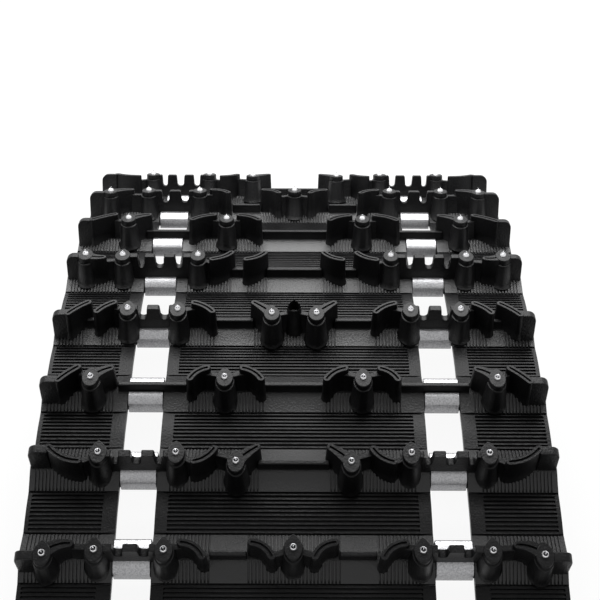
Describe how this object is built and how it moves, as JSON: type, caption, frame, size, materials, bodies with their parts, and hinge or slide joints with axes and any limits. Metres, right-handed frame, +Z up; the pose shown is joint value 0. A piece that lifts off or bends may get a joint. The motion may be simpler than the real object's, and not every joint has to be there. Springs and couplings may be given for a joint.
{
  "type": "snowmobile track section",
  "caption": "Stretch of a studded snowmobile track: moulded rubber belt sections with lugs, cross rods, steel guide clips and studs, joined by flexing rubber hinges.",
  "frame": {"origin": "centre of the stretch on the surface that it stands on", "axes": "+X across the belt, +Y along its run towards the rear, +Z up, out of the lugged side"},
  "size_m": [0.4064, 0.5628, 0.1087],
  "materials": {
    "rubber": "satin moulded rubber",
    "fibreglass": "pultruded, matt",
    "clip_steel": "galvanised, grainy",
    "stud_steel": "bright turned steel"
  },
  "bodies": {
    "row_1": {"belt_section_1": "rubber", "cross_rod_1": "fibreglass", "guide_clip_1_left": "clip_steel", "guide_clip_1_right": "clip_steel", "stud_1_1": "stud_steel", "stud_1_2": "stud_steel", "stud_1_3": "stud_steel", "stud_1_4": "stud_steel", "stud_1_5": "stud_steel", "stud_1_6": "stud_steel", "stud_1_7": "stud_steel"},
    "row_2": {"belt_section_2": "rubber", "cross_rod_2": "fibreglass", "guide_clip_2_left": "clip_steel", "guide_clip_2_right": "clip_steel", "stud_2_1": "stud_steel", "stud_2_2": "stud_steel", "stud_2_3": "stud_steel", "stud_2_4": "stud_steel", "stud_2_5": "stud_steel", "stud_2_6": "stud_steel"},
    "row_3": {"belt_section_3": "rubber", "cross_rod_3": "fibreglass", "guide_clip_3_left": "clip_steel", "guide_clip_3_right": "clip_steel", "stud_3_1": "stud_steel", "stud_3_2": "stud_steel", "stud_3_3": "stud_steel", "stud_3_4": "stud_steel"},
    "row_4": {"belt_section_4": "rubber", "cross_rod_4": "fibreglass", "guide_clip_4_left": "clip_steel", "guide_clip_4_right": "clip_steel", "stud_4_1": "stud_steel", "stud_4_2": "stud_steel", "stud_4_3": "stud_steel", "stud_4_4": "stud_steel", "stud_4_5": "stud_steel", "stud_4_6": "stud_steel"},
    "row_5": {"belt_section_5": "rubber", "cross_rod_5": "fibreglass", "guide_clip_5_left": "clip_steel", "guide_clip_5_right": "clip_steel"},
    "row_6": {"belt_section_6": "rubber", "cross_rod_6": "fibreglass", "guide_clip_6_left": "clip_steel", "guide_clip_6_right": "clip_steel"},
    "row_7": {"belt_section_7": "rubber", "cross_rod_7": "fibreglass", "guide_clip_7_left": "clip_steel", "guide_clip_7_right": "clip_steel"},
    "row_8": {"belt_section_8": "rubber", "cross_rod_8": "fibreglass", "guide_clip_8_left": "clip_steel", "guide_clip_8_right": "clip_steel"}
  },
  "joints": [
    {"name": "flex_1_2", "type": "hinge", "parent": "row_2", "child": "row_1", "pos_m": [0, -0.21385, 0.03828], "axis": [1, 0, 0], "range_deg": [-14, 38], "stiffness_Nm_per_rad": 40, "springref_deg": 0.48},
    {"name": "flex_2_3", "type": "hinge", "parent": "row_3", "child": "row_2", "pos_m": [0, -0.14411, 0.0586], "axis": [1, 0, 0], "range_deg": [-14, 38], "stiffness_Nm_per_rad": 40, "springref_deg": 1.33},
    {"name": "flex_3_4", "type": "hinge", "parent": "row_4", "child": "row_3", "pos_m": [0, -0.07252, 0.0709], "axis": [1, 0, 0], "range_deg": [-14, 38], "stiffness_Nm_per_rad": 40, "springref_deg": 1.85},
    {"name": "flex_4_5", "type": "hinge", "parent": "row_4", "child": "row_5", "pos_m": [0, 0, 0.07502], "axis": [-1, 0, 0], "range_deg": [-14, 38], "stiffness_Nm_per_rad": 40, "springref_deg": 2.01},
    {"name": "flex_5_6", "type": "hinge", "parent": "row_5", "child": "row_6", "pos_m": [0, 0.07252, 0.0709], "axis": [-1, 0, 0], "range_deg": [-14, 38], "stiffness_Nm_per_rad": 40, "springref_deg": 1.81},
    {"name": "flex_6_7", "type": "hinge", "parent": "row_6", "child": "row_7", "pos_m": [0, 0.14411, 0.0586], "axis": [-1, 0, 0], "range_deg": [-14, 38], "stiffness_Nm_per_rad": 40, "springref_deg": 1.27},
    {"name": "flex_7_8", "type": "hinge", "parent": "row_7", "child": "row_8", "pos_m": [0, 0.21385, 0.03828], "axis": [-1, 0, 0], "range_deg": [-14, 38], "stiffness_Nm_per_rad": 40, "springref_deg": 0.39}
  ]
}
